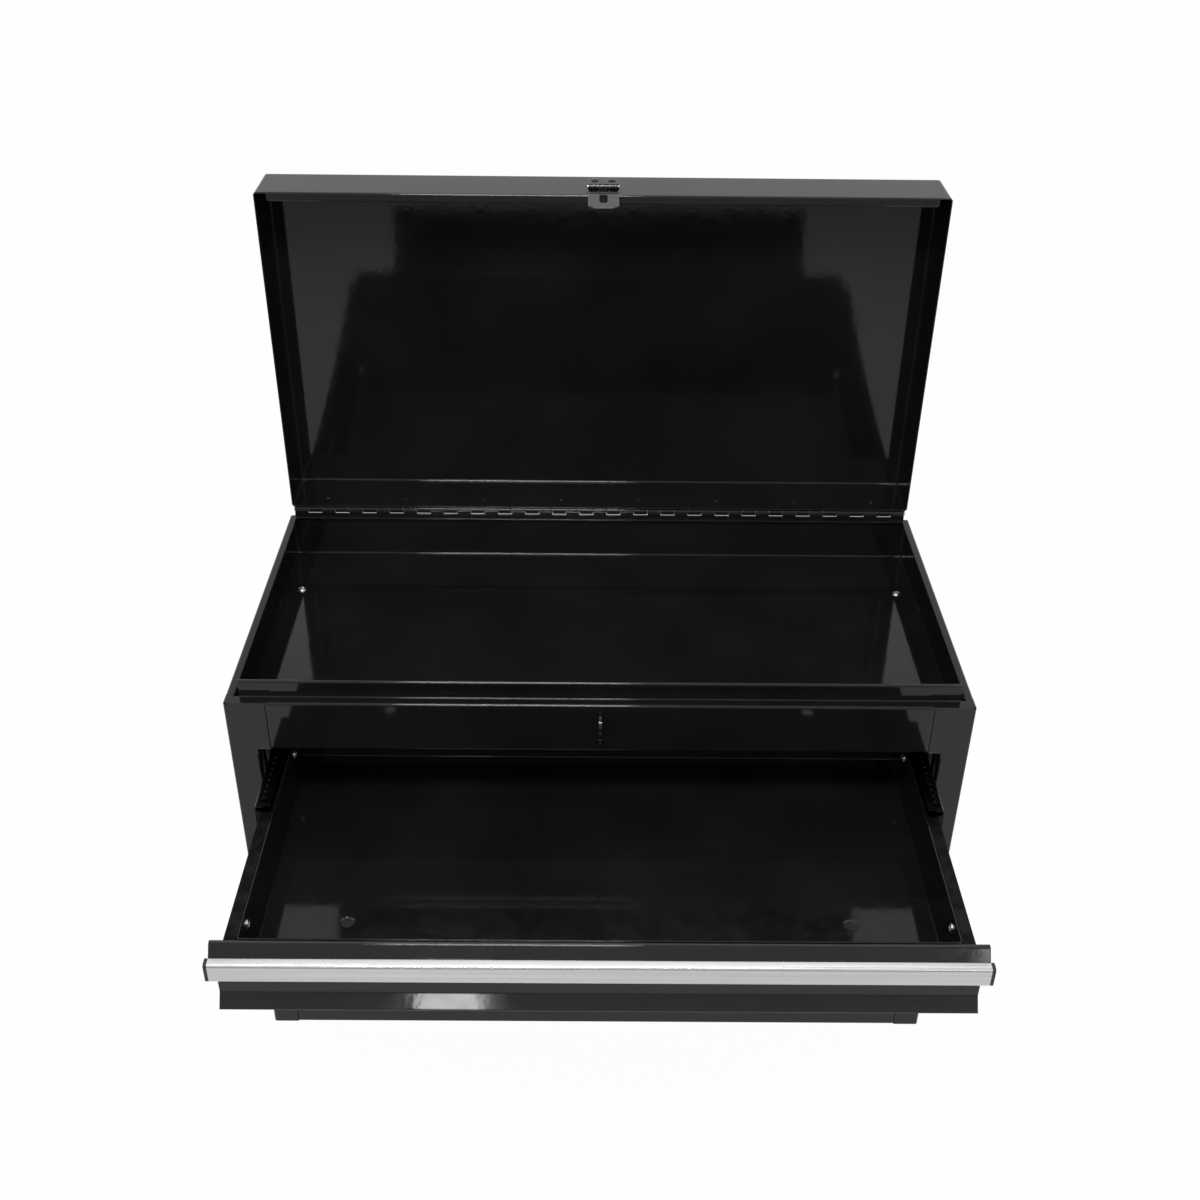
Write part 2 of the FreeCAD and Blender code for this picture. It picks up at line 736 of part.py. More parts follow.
def drawer_front(number):
    """Roll-formed front: hook, crest, nose, set-back face, ramp and toe."""
    top = drawer_top(number)
    low = top - drawer_height(number)
    path = [(front + front_hook_y, top - front_hook_drop), (front + front_hook_y, top),
            (front + front_crest_y, top), (front + nose_y, top - nose_drop),
            (front + face_y, top - face_drop), (front + face_y, low + ramp_rise),
            (front + toe_y, low), (front + toe_return_y, low)]
    return folded("yz", path, -front_half, front_half, bends=[bend, bend, bend, bend, ramp_bend, 0.0])


def pull_path(number):
    """Outer face of the pull from its roof round to its tail."""
    top = drawer_top(number)
    return [(front + pull_roof_y, top - pull_roof_drop), (front + pull_front_y, top - pull_roof_drop),
            (front + pull_front_y, top - pull_heel_drop), (front + pull_tail_y, top - pull_tail_drop)]


def nose_wedge(number):
    """Space the sharp-cornered nose of the front takes inside the pull."""
    top = drawer_top(number)
    outline = [(front + front_crest_y, top), (front + nose_y, top - nose_drop),
               (front + face_y, top - face_drop), (front + face_y, top)]
    return prism("yz", outline, -half, half)


def drawer_pull(number):
    """Extruded pull that clips over the nose of the front."""
    top = drawer_top(number)
    shell = folded("yz", pull_path(number), -front_half, front_half, pull_wall,
                   [pull_shoulder_radius, pull_heel_radius])
    lip = block(-front_half, front_half, front + lip_root_y, front + lip_end_y,
                top - lip_drop, top - lip_drop + lip_thickness)
    ridge = block(-front_half, front_half, front + lip_end_y - lip_ridge, front + lip_end_y,
                  top - lip_drop, top - nose_drop)
    return joined([shell, lip, ridge]).cut(nose_wedge(number))


def pull_caps(number):
    """Moulded end caps with the outline of the pull."""
    outline = pull_path(number)
    outline = outline + [(front + pull_tail_y, drawer_top(number) - lip_drop - pull_wall),
                         (front + pull_roof_y, drawer_top(number) - lip_drop)]
    outer_shoulder = pull_shoulder_radius + pull_wall
    outer_heel = pull_heel_radius + pull_wall
    cap = prism("yz", outline, front_half, front_half + cap_thickness,
                [0.0, outer_shoulder, outer_heel, 0.0, 0.0, 0.0])
    return Part.makeCompound([cap, mirrored(cap)])


def slide_level(number):
    """Height of the middle line of a slide."""
    return drawer_top(number) - slide_drop


def rail_screw_places(number):
    """Side, depth and height of the screws that hold the drawer members."""
    rows = [front + rail_screw_front_y, rear - rail_screw_rear_gap]
    return [(side, y, slide_level(number)) for side in (-1, 1) for y in rows]


def drawer_tray(number):
    """Tray with hanger holes in its floor and screw holes in its side walls."""
    top = drawer_top(number) - tray_top_drop
    floor = drawer_top(number) - drawer_height(number) + tray_clear_below
    y0 = front + face_y + sheet
    y1 = rear - tray_rear_gap
    shell = tub(-tray_half, tray_half, y0, y1, floor - sheet, top, tray_bend)
    drills = [rod(FreeCAD.Vector(side * hanger_hole_x, front + hanger_hole_y, floor - step), AXIS_Z,
                  hanger_hole_d, 2 * step) for side in (-1, 1)]
    drills += [rod(FreeCAD.Vector(side * (tray_half - step), y, z), AXIS_X * side,
                   rail_screw_shank_d + 2 * hole_clearance, 2 * step)
               for side, y, z in rail_screw_places(number)]
    return shell.cut(Part.makeCompound(drills))


def channel(number, s0, s1, flange_s, web_half, low_y, high_y):
    """C-shaped slide member: web between s0 and s1, flanges out to flange_s."""
    level = slide_level(number)
    x0 = tray_half + s0
    x1 = tray_half + s1
    xf = tray_half + flange_s
    if flange_s > s1:
        path = [(xf, level + web_half), (x0, level + web_half), (x0, level - web_half),
                (xf, level - web_half)]
    else:
        path = [(xf, level - web_half), (x1, level - web_half), (x1, level + web_half),
                (xf, level + web_half)]
    return folded("xz", path, low_y, high_y, slide_sheet, slide_bend)


def drawer_rails(number):
    """Inner members of the two slides, fixed to the tray."""
    rail = channel(number, 0.0, slide_sheet, inner_depth, inner_half,
                   front + slide_front_y, rear - slide_rear_gap)
    drills = [rod(FreeCAD.Vector(tray_half - step, y, z), AXIS_X,
                  rail_screw_shank_d + 2 * hole_clearance, 2 * step)
              for side, y, z in rail_screw_places(number) if side > 0]
    rail = rail.cut(Part.makeCompound(drills))
    return Part.makeCompound([rail, mirrored(rail)])


def rail_screws(number):
    """Screws through the tray walls into the inner members."""
    return Part.makeCompound([headed(FreeCAD.Vector(side * (tray_half - sheet), y, z), AXIS_X * side,
                                     rail_screw_shank_d, rail_screw_reach, rail_screw_head_d,
                                     rail_screw_head_h) for side, y, z in rail_screw_places(number)])


def cabinet_rails(number):
    """Outer members of the two slides, fixed to the uprights."""
    rail = channel(number, slide_stack - slide_sheet, slide_stack, cabinet_inner_s, cabinet_half,
                   front + slide_front_y, rear - slide_rear_gap)
    return Part.makeCompound([rail, mirrored(rail)])


def runner_rails(number):
    """Middle members of the two slides with a stop block at the front."""
    rail = channel(number, runner_outer_s - slide_sheet, runner_outer_s, runner_inner_s, runner_half,
                   front + runner_front_y, rear - runner_rear_gap)
    level = slide_level(number)
    web_x = tray_half + runner_outer_s - slide_sheet
    stop = block(web_x - runner_stop_depth, web_x + fit, front + runner_front_y,
                 front + runner_front_y + runner_stop_length, level - runner_stop_half,
                 level + runner_stop_half)
    rail = joined([rail, stop])
    return Part.makeCompound([rail, mirrored(rail)])


def ball_cages(number):
    """Ball cages of the two races, above and below each middle member."""
    level = slide_level(number)
    y0 = front + runner_front_y + cage_front_in
    y1 = rear - runner_rear_gap - cage_rear_in
    inside = runner_half - slide_sheet
    bars = []
    for way in (-1, 1):
        for s0, s1, low, high in ((cage_inner_s0, cage_inner_s1, inner_half + cage_clearance, inside),
                                  (cage_outer_s0, cage_outer_s1, runner_half,
                                   cabinet_half - slide_sheet - cage_clearance)):
            z0, z1 = sorted((level + way * low, level + way * high))
            bar = block(tray_half + s0, tray_half + s1, y0, y1, z0, z1)
            bars += [bar, mirrored(bar)]
    return Part.makeCompound(bars)


def drawn(shape, number, ratio=1.0):
    """Piece of a drawer or its runner at the rest position of that drawer."""
    moved = shape.copy()
    if number == 1:
        moved.translate(AXIS_Y * (-drawer_1_drawn * ratio))
    return moved


# ---- Every node ------------------------------------------------------------------------------------
front_upright_y = front + upright_front_y
rear_upright_y = rear - upright_rear_y - upright_width
front_upright = right_upright(front_upright_y, front + till_screw_front_y)
rear_upright = right_upright(rear_upright_y, rear - till_screw_rear_gap)
side = right_side()
nodes = {
    "left_side": mirrored(side),
    "right_side": side,
    "rear_panel": rear_panel(),
    "base_panel": base_panel(),
    "front_header": front_header(),
    "till_pan": till_pan(),
    "till_screws": till_screws(),
    "hasp_staple": hasp_staple(),
    "staple_rivet": staple_rivet(),
    "front_left_upright": mirrored(front_upright),
    "front_right_upright": front_upright,
    "rear_left_upright": mirrored(rear_upright),
    "rear_right_upright": rear_upright,
    "hinge_case_leaf": piano_leaf(0, -1.0),
    "hinge_pin": hinge_pin(),
    "hinge_case_rivets": piano_rivets(-1.0),
    "lid_shell": swung(lid_shell()),
    "hinge_lid_leaf": swung(piano_leaf(1, 1.0)),
    "hinge_lid_rivets": swung(piano_rivets(1.0)),
    "hasp_leaf": swung(hasp_leaf()),
    "hasp_pin": swung(hasp_pin()),
    "hasp_rivets": swung(hasp_rivets()),
    "hasp_tongue": swung(hasp_tongue()),
}
for number in range(1, drawer_count + 1):
    nodes["cabinet_rails_%d" % number] = cabinet_rails(number)
    nodes["drawer_tray_%d" % number] = drawn(drawer_tray(number), number)
    nodes["drawer_front_%d" % number] = drawn(drawer_front(number), number)
    nodes["drawer_pull_%d" % number] = drawn(drawer_pull(number), number)
    nodes["pull_caps_%d" % number] = drawn(pull_caps(number), number)
    nodes["drawer_rails_%d" % number] = drawn(drawer_rails(number), number)
    nodes["rail_screws_%d" % number] = drawn(rail_screws(number), number)
    nodes["runner_rails_%d" % number] = drawn(runner_rails(number), number, runner_ratio)
    nodes["ball_cages_%d" % number] = drawn(ball_cages(number), number, runner_ratio)

for name, shape in nodes.items():
    shape.exportStep("parts/%s.step" % name)
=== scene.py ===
"""Looks of a machinist tool chest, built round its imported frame."""

import json
import logging
import math
from dataclasses import dataclass, field
from enum import Enum
from typing import Dict, Iterable, List, Sequence, Tuple

import bmesh
import bpy
import numpy as np
from mathutils import Matrix, Vector

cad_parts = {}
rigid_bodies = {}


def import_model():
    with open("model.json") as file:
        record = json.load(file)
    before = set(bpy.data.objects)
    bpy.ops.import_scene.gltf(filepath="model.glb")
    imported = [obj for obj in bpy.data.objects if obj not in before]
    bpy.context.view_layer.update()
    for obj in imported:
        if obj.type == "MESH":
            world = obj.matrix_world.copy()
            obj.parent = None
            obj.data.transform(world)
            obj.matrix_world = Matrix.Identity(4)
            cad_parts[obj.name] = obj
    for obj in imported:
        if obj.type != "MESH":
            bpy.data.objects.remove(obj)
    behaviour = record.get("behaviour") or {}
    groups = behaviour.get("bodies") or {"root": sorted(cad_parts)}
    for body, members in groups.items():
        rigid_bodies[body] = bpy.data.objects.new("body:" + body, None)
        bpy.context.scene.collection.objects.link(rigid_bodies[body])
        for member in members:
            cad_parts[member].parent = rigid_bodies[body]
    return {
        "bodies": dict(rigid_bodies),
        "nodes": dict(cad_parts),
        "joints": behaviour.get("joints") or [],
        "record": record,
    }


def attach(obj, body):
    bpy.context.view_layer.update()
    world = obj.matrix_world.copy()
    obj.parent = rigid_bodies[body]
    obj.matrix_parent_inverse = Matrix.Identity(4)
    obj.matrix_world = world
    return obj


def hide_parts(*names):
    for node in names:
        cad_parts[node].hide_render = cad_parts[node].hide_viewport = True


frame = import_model()

LOG = logging.getLogger("tool_chest")
MM = 0.001
DRAWERS = 4
FIRST_TOP = 311.7 * MM
DRAWER_PITCH = 68.6 * MM
FIRST_DRAWN = 208.0 * MM
Point = Tuple[float, float, float]
EVEN: Point = (1.0, 1.0, 1.0)
WHITE = (1.0, 1.0, 1.0, 1.0)


class Slot(Enum):
    """Material slots of the record."""

    PAINT = "black_paint"
    PULL = "pull_aluminium"
    CAP = "cap_plastic"
    ZINC = "zinc"
    SLIDE = "slide_steel"


class Body(Enum):
    """Moving bodies that a piece can ride on."""

    CASE = "case"
    LID = "lid"
    HASP = "hasp"
    DRAWER = "drawer_%d"
    RUNNER = "runner_%d"

    def named(self, number: int = 0) -> str:
        """Name of the body, with its drawer number where it has one."""
        return self.value % number if "%d" in self.value else self.value


# ---- Materials ---------------------------------------------------------------------------------


def worked(tree: bpy.types.NodeTree, operation: str, *values: object) -> bpy.types.NodeSocket:
    """Work out a number from sockets and constants.

    Args:
        tree: Tree that takes the node.
        operation: Blender's name of the operation.
        values: A socket or a number for each input.

    Returns:
        The result.
    """
    made = tree.nodes.new("ShaderNodeMath")
    made.operation = operation
    for slot, value in zip(made.inputs, values):
        if isinstance(value, (int, float)):
            slot.default_value = value
        else:
            tree.links.new(value, slot)
    return made.outputs[0]


@dataclass(frozen=True)
class Grain:
    """Noise in cells per metre and octaves, and its strength and depth where it is relief."""

    scale: float
    detail: float = 2.0
    stretch: Point = EVEN
    strength: float = 0.0
    depth: float = 0.0


@dataclass(frozen=True)
class Bow:
    """Slight bow of a sheet past a line across one axis; a rate of 0 is flat."""

    axis: int = 2
    start: float = 0.0
    way: float = 1.0
    rate: float = 0.0


class NodeSheet:
    """Small helper that lays nodes into a new material."""

    noise_span: Tuple[float, float] = (0.35, 0.65)
    edge_samples: int = 4

    def __init__(self, name: str) -> None:
        """Start a material with a single principled shader.

        Args:
            name: Name of the material.
        """
        self.material = bpy.data.materials.new(name)
        self.material.use_nodes = True
        self.tree = self.material.node_tree
        self.tree.nodes.clear()
        self.output = self.tree.nodes.new("ShaderNodeOutputMaterial")
        self.shader = self.tree.nodes.new("ShaderNodeBsdfPrincipled")
        self.tree.links.new(self.shader.outputs["BSDF"], self.output.inputs["Surface"])
        self.coords = self.tree.nodes.new("ShaderNodeTexCoord").outputs["Object"]

    def node(self, kind: str, **values: object) -> bpy.types.Node:
        """Add a node and set its input values by socket name.

        Args:
            kind: Blender's node type.
            values: Socket values, with underscores for spaces.

        Returns:
            The new node.
        """
        made = self.tree.nodes.new(kind)
        for key, value in values.items():
            made.inputs[key.replace("_", " ")].default_value = value
        return made

    def link(self, source: bpy.types.NodeSocket, target: bpy.types.NodeSocket) -> None:
        """Join two sockets."""
        self.tree.links.new(source, target)

    def noise(self, grain: Grain) -> bpy.types.NodeSocket:
        """Noise on object coordinates.

        Args:
            grain: Its scale, octaves and stretch.

        Returns:
            The factor output.
        """
        mapping = self.node("ShaderNodeMapping")
        mapping.inputs["Scale"].default_value = grain.stretch
        self.link(self.coords, mapping.inputs["Vector"])
        made = self.node("ShaderNodeTexNoise", Scale=grain.scale, Detail=grain.detail)
        self.link(mapping.outputs["Vector"], made.inputs["Vector"])
        return made.outputs["Fac"]

    def ranged(self, source: bpy.types.NodeSocket, low: float, high: float) -> bpy.types.NodeSocket:
        """Map a noise factor, over the span that it mostly keeps to, to low..high.

        Args:
            source: Factor to map.
            low: Value at the start of the span.
            high: Value at its end.

        Returns:
            The mapped value.
        """
        made = self.tree.nodes.new("ShaderNodeMapRange")
        for name, value in zip(("From Min", "From Max", "To Min", "To Max"),
                               (*self.noise_span, low, high)):
            made.inputs[name].default_value = value
        self.link(source, made.inputs["Value"])
        return made.outputs["Result"]

    def tinted(self, factor: bpy.types.NodeSocket, dark: Sequence[float],
               light: Sequence[float]) -> bpy.types.NodeSocket:
        """Colour that runs from dark to light with a factor.

        Args:
            factor: Mix factor.
            dark: RGB at 0.
            light: RGB at 1.

        Returns:
            The mixed colour.
        """
        made = self.tree.nodes.new("ShaderNodeMix")
        made.data_type = "RGBA"
        made.inputs[6].default_value = (*dark, 1.0)
        made.inputs[7].default_value = (*light, 1.0)
        self.link(factor, made.inputs[0])
        return made.outputs[2]

    def bumps(self, layers: Iterable[Tuple[bpy.types.NodeSocket, float, float]], edge: float) -> None:
        """Soften the sharp edges and chain bump layers into the shader's normal.

        Args:
            layers: Height, strength and distance in metres of each layer.
            edge: Radius in metres that softens sharp edges.
        """
        bevel = self.tree.nodes.new("ShaderNodeBevel")
        bevel.samples = self.edge_samples
        bevel.inputs["Radius"].default_value = edge
        normal = bevel.outputs["Normal"]
        for height, strength, distance in layers:
            bump = self.node("ShaderNodeBump", Strength=strength, Distance=distance)
            self.link(height, bump.inputs["Height"])
            self.link(normal, bump.inputs["Normal"])
            normal = bump.outputs["Normal"]
        self.link(normal, self.shader.inputs["Normal"])

    def bow(self, shape: Bow) -> bpy.types.NodeSocket:
        """Height of a sheet that bows past a line.

        The height is rate / 2 times the square of the distance past the line, and 0 before it,
        so the slope grows evenly from nothing.

        Args:
            shape: Where the bow begins, which way it goes on and how fast it grows.

        Returns:
            The height in metres.
        """
        parts = self.tree.nodes.new("ShaderNodeSeparateXYZ")
        self.link(self.coords, parts.inputs[0])
        beyond = worked(self.tree, "SUBTRACT", parts.outputs[shape.axis], shape.start)
        past = worked(self.tree, "MAXIMUM", worked(self.tree, "MULTIPLY", beyond, shape.way), 0.0)
        return worked(self.tree, "MULTIPLY", worked(self.tree, "POWER", past, 2.0), shape.rate / 2.0)


@dataclass(frozen=True)
class GlossPaint:
    """Black gloss enamel with orange peel and faint panel waviness."""

    name: str = "black_gloss_paint"
    dark: Point = (0.0046, 0.0046, 0.0049)
    light: Point = (0.0072, 0.0072, 0.0076)
    roughness_low: float = 0.045
    roughness_high: float = 0.085
    wave: Grain = Grain(6.0, 1.0, strength=0.08, depth=1.0 * MM)
    grain: Grain = Grain(110.0, 1.5, strength=0.05, depth=0.35 * MM)
    peel: Grain = Grain(260.0, 1.5, strength=0.06, depth=0.12 * MM)
    cloud: Grain = Grain(11.0, 3.0)
    gloss: Grain = Grain(60.0, 4.0)
    ior: float = 1.43
    edge: float = 1.6 * MM
    bow: Bow = Bow()

    def build(self) -> bpy.types.Material:
        """Lay out the enamel: clouded black, uneven gloss, wave, grain, peel and its bow, if any.

        Returns:
            The material.
        """
        sheet = NodeSheet(self.name)
        cloud = sheet.noise(self.cloud)
        sheet.link(sheet.tinted(sheet.ranged(cloud, 0.0, 1.0), self.dark, self.light),
                   sheet.shader.inputs["Base Color"])
        fine = sheet.noise(self.gloss)
        sheet.link(sheet.ranged(fine, self.roughness_low, self.roughness_high),
                   sheet.shader.inputs["Roughness"])
        sheet.shader.inputs["IOR"].default_value = self.ior
        layers = [(sheet.noise(layer), layer.strength, layer.depth)
                  for layer in (self.wave, self.grain, self.peel)]
        if self.bow.rate > 0.0:
            layers.insert(0, (sheet.bow(self.bow), 1.0, 1.0))
        sheet.bumps(layers, self.edge)
        return sheet.material


@dataclass(frozen=True)
class BrushedPull:
    """Satin anodised aluminium with fine lines along the extrusion."""

    name: str = "satin_aluminium"
    dark: Point = (0.60, 0.605, 0.61)
    light: Point = (0.71, 0.715, 0.72)
    roughness_low: float = 0.26
    roughness_high: float = 0.29
    lines: Grain = Grain(900.0, 2.0, (0.004, 1.0, 1.0), strength=0.06, depth=0.04 * MM)
    cloud: Grain = Grain(25.0, 3.0)
    edge: float = 0.3 * MM

    def build(self) -> bpy.types.Material:
        """Lay out the satin metal.

        Returns:
            The material.
        """
        sheet = NodeSheet(self.name)
        lines = sheet.noise(self.lines)
        sheet.link(sheet.tinted(sheet.ranged(lines, 0.0, 1.0), self.dark, self.light),
                   sheet.shader.inputs["Base Color"])
        cloud = sheet.noise(self.cloud)
        sheet.link(sheet.ranged(cloud, self.roughness_low, self.roughness_high),
                   sheet.shader.inputs["Roughness"])
        sheet.shader.inputs["Metallic"].default_value = 1.0
        sheet.bumps([(lines, self.lines.strength, self.lines.depth)], self.edge)
        return sheet.material


@dataclass(frozen=True)
class MouldedCap:
    """Black moulded plastic with a fine spark texture."""

    name: str = "moulded_black"
    dark: Point = (0.006, 0.006, 0.007)
    light: Point = (0.014, 0.014, 0.015)
    grain: Grain = Grain(1500.0, 2.0, strength=0.25, depth=0.05 * MM)
    gloss: Grain = Grain(120.0)
    roughness_low: float = 0.30
    roughness_high: float = 0.42
    edge: float = 0.6 * MM

    def build(self) -> bpy.types.Material:
        """Lay out the plastic.

        Returns:
            The material.
        """
        sheet = NodeSheet(self.name)
        grain = sheet.noise(self.grain)
        sheet.link(sheet.tinted(grain, self.dark, self.light), sheet.shader.inputs["Base Color"])
        sheet.link(sheet.ranged(sheet.noise(self.gloss), self.roughness_low, self.roughness_high),
                   sheet.shader.inputs["Roughness"])
        sheet.bumps([(grain, self.grain.strength, self.grain.depth)], self.edge)
        return sheet.material


@dataclass(frozen=True)
class PlatedSteel:
    """Zinc or dark plated steel with cloudy tone and light scuffs."""

    name: str
    dark: Point
    light: Point
    roughness_low: float = 0.22
    roughness_high: float = 0.38
    scuff: Grain = Grain(700.0, 2.0, strength=0.12, depth=0.05 * MM)
    cloud: Grain = Grain(90.0, 4.0)
    gloss: Grain = Grain(400.0, 2.0)
    edge: float = 0.3 * MM

    def build(self) -> bpy.types.Material:
        """Lay out the plated metal; a stretched scuff gives drawn lines.

        Returns:
            The material.
        """
        sheet = NodeSheet(self.name)
        cloud = sheet.noise(self.cloud)
        sheet.link(sheet.tinted(sheet.ranged(cloud, 0.0, 1.0), self.dark, self.light),
                   sheet.shader.inputs["Base Color"])
        sheet.link(sheet.ranged(sheet.noise(self.gloss), self.roughness_low, self.roughness_high),
                   sheet.shader.inputs["Roughness"])
        sheet.shader.inputs["Metallic"].default_value = 1.0
        sheet.bumps([(sheet.noise(self.scuff), self.scuff.strength, self.scuff.depth)], self.edge)
        return sheet.material


class FinishShelf:
    """One material for each slot of the record, and one each for a few single nodes."""

    def __init__(self) -> None:
        """Build every finish once."""
        self.by_slot: Dict[Slot, bpy.types.Material] = {
            Slot.PAINT: GlossPaint().build(),
            Slot.PULL: BrushedPull().build(),
            Slot.CAP: MouldedCap().build(),
            Slot.ZINC: PlatedSteel(
                "bright_zinc", dark=(0.42, 0.43, 0.45), light=(0.66, 0.67, 0.69)).build(),
            Slot.SLIDE: PlatedSteel(
                "dark_slide_steel", dark=(0.006, 0.006, 0.007), light=(0.016, 0.016, 0.018),
                roughness_low=0.20, roughness_high=0.32,
                scuff=Grain(700.0, 2.0, (1.0, 0.01, 1.0), strength=0.12, depth=0.05 * MM)).build(),
        }
        self.by_node: Dict[str, bpy.types.Material] = {
            "lid_shell": GlossPaint(
                "black_gloss_paint_lid", bow=Bow(axis=2, start=0.3906, way=1.0, rate=0.407)).build(),
            "staple_rivet": PlatedSteel(
                "darkened_zinc", dark=(0.020, 0.020, 0.022), light=(0.050, 0.050, 0.054)).build(),
            "drawer_tray_1": GlossPaint(
                "black_gloss_paint_tray", bow=Bow(axis=1, start=-0.255, way=-1.0, rate=0.70)).build(),
        }

    def dress_frame(self, packed: dict) -> None:
        """Give every CAD node its own finish, or else the finish of its slot.
        """
        slots = {part["node"]: part["material_slot"] for part in packed["record"]["subparts"]}
        for name, piece in packed["nodes"].items():
            finish = self.by_node.get(name, self.by_slot[Slot(slots[name])])
            piece.data.materials.clear()
            piece.data.materials.append(finish)
            LOG.info("dressed %s in %s", name, finish.name)


# ---- Meshes from grids --------------------------------------------------------------------------


class GridMesh:
    """Collects closed grid surfaces and turns them into one object."""

    merge_distance: float = 2e-6
    sliver_distance: float = 1e-7

    def __init__(self) -> None:
        """Start with nothing."""
        self.points: List[np.ndarray] = []
        self.faces: List[np.ndarray] = []
        self.count = 0

    def add_grid(self, grid: np.ndarray) -> None:
        """Add one wrapped grid of points, rows x columns x 3, where it stands."""
        self.add_copies(grid, np.zeros((1, 3)))

    def add_copies(self, grid: np.ndarray, places: np.ndarray) -> None:
        """Add the same wrapped grid at many places.

        Quad (i, j) joins points (i, j), (i+1, j), (i+1, j+1), (i, j+1), and the last column
        joins the first.

        Args:
            grid: Points of one copy, rows x columns x 3.
            places: Offsets, n x 3.
        """
        rows, columns = grid.shape[:2]
        base = np.arange(rows * columns).reshape(rows, columns)
        nxt = np.roll(base, -1, axis=1)
        quads = np.stack([base[:-1], base[1:], nxt[1:], nxt[:-1]], axis=-1).reshape(-1, 4)
        shift = np.arange(len(places))[:, None, None] * rows * columns + self.count
        self.faces.append((quads[None] + shift).reshape(-1, 4))
        self.points.append((grid.reshape(1, -1, 3) + places[:, None, :]).reshape(-1, 3))
        self.count += rows * columns * len(places)

    def build(self, name: str, material: bpy.types.Material, smooth_deg: float = 35.0) -> bpy.types.Object:
        """Make the object.

        Args:
            name: Name of the piece.
            material: Its finish.
            smooth_deg: Faces that meet at less than this are shaded as one.

        Returns:
            The new object, at the origin.
        """
        points = np.concatenate(self.points)
        faces = np.concatenate(self.faces)
        mesh = bpy.data.meshes.new(name)
        mesh.from_pydata(points.tolist(), [], faces.tolist())
        work = bmesh.new()
        work.from_mesh(mesh)
        bmesh.ops.remove_doubles(work, verts=work.verts, dist=self.merge_distance)
        bmesh.ops.dissolve_degenerate(work, edges=work.edges, dist=self.sliver_distance)
        bmesh.ops.recalc_face_normals(work, faces=work.faces)
        work.to_mesh(mesh)
        work.free()
        mesh.update()
        mesh.materials.append(material)
        mesh.shade_smooth()
        mesh.set_sharp_from_angle(angle=math.radians(smooth_deg))
        made = bpy.data.objects.new(name, mesh)
        bpy.context.scene.collection.objects.link(made)
        return made


def lathe(profile: np.ndarray, segments: int) -> np.ndarray:
    """Turn a profile about +Z.

    Point (i, j) is (r_i cos t_j, r_i sin t_j, z_i) with t_j = 2 pi j / segments.

    Args:
        profile: Radius and height rows, n x 2.
        segments: Points round.

    Returns:
        Grid of points, n x segments x 3.
    """
    turn = np.arange(segments) * (2.0 * np.pi / segments)
    radius = profile[:, 0][:, None]
    height = np.repeat(profile[:, 1][:, None], segments, axis=1)
    return np.stack([radius * np.cos(turn), radius * np.sin(turn), height], axis=-1)


def aimed(grid: np.ndarray, direction: Point) -> np.ndarray:
    """Turn a grid so that its +Z looks along a direction.

    Args:
        grid: Points, ... x 3.
        direction: New way of +Z.

    Returns:
        The turned grid.
    """
    turn = np.array(Vector(direction).to_track_quat("Z", "Y").to_matrix())
    return grid @ turn.T


def smooth_step(value: np.ndarray) -> np.ndarray:
    """Cubic 3v^2 - 2v^3 of a value held between 0 and 1."""
    held = np.clip(value, 0.0, 1.0)
    return held * held * (3.0 - 2.0 * held)


@dataclass
class CrossScrew:
    """Pan head screw with a cross recess."""

    head_radius: float = 4.0 * MM
    head_height: float = 2.2 * MM
    recess_half: float = 0.55 * MM
    recess_reach: float = 2.3 * MM
    recess_depth: float = 1.4 * MM
    rings: int = 22
    segments: int = 64
    recess_soft: float = 0.22 * MM
    ring_power: float = 0.8
    dome_power: float = 2.6
    shank_share: float = 0.5
    shank_taper: float = 0.48
    shank_straight: float = 0.9

    def bar(self, across: np.ndarray, along: np.ndarray) -> np.ndarray:
        """Mask of one bar of the cross.

        It is a smooth step of the distance inside the half width times one inside the reach.

        Args:
            across: Distance across the bar.
            along: Distance along the bar.

        Returns:
            1 inside the bar and 0 outside it.
        """
        width = smooth_step((self.recess_half - np.abs(across)) / self.recess_soft + 0.5)
        reach = smooth_step((self.recess_reach - np.abs(along)) / (self.recess_soft * 2.0) + 0.5)
        return width * reach

    def head(self) -> np.ndarray:
        """Domed head whose top is pressed in along two crossed bars.

        Height is h sqrt(1 - (r/R)^2.6) less the depth times the larger of two bar masks.

        Returns:
            Grid of points about +Z, its seat on z = 0.
        """
        share = np.linspace(0.0, 1.0, self.rings) ** self.ring_power
        radius = self.head_radius * share[:, None]
        turn = np.arange(self.segments) * (2.0 * np.pi / self.segments)
        x = radius * np.cos(turn)
        y = radius * np.sin(turn)
        crown = np.sqrt(np.clip(1.0 - share ** self.dome_power, 0.0, 1.0))[:, None]
        dome = self.head_height * crown * np.ones_like(x)
        depth = self.recess_depth * np.maximum(self.bar(x, y), self.bar(y, x))
        return np.stack([x, y, dome - depth], axis=-1)

    def add(self, mesh: GridMesh, centre: Point, direction: Point, shank: float) -> None:
        """Add the screw to a mesh.

        Args:
            mesh: Mesh that takes the points.
            centre: Middle of the seat.
            direction: Way the head looks.
            shank: Length of the shank behind the seat.
        """
        root = self.head_radius * self.shank_share
        tip = self.head_radius * self.shank_taper
        rim = np.array([[self.head_radius, 0.0], [root, 0.0],
                        [tip, -shank * self.shank_straight], [0.0, -shank]])
        for grid in (self.head(), lathe(rim, self.segments)):
            mesh.add_grid(aimed(grid, direction) + np.array(centre))


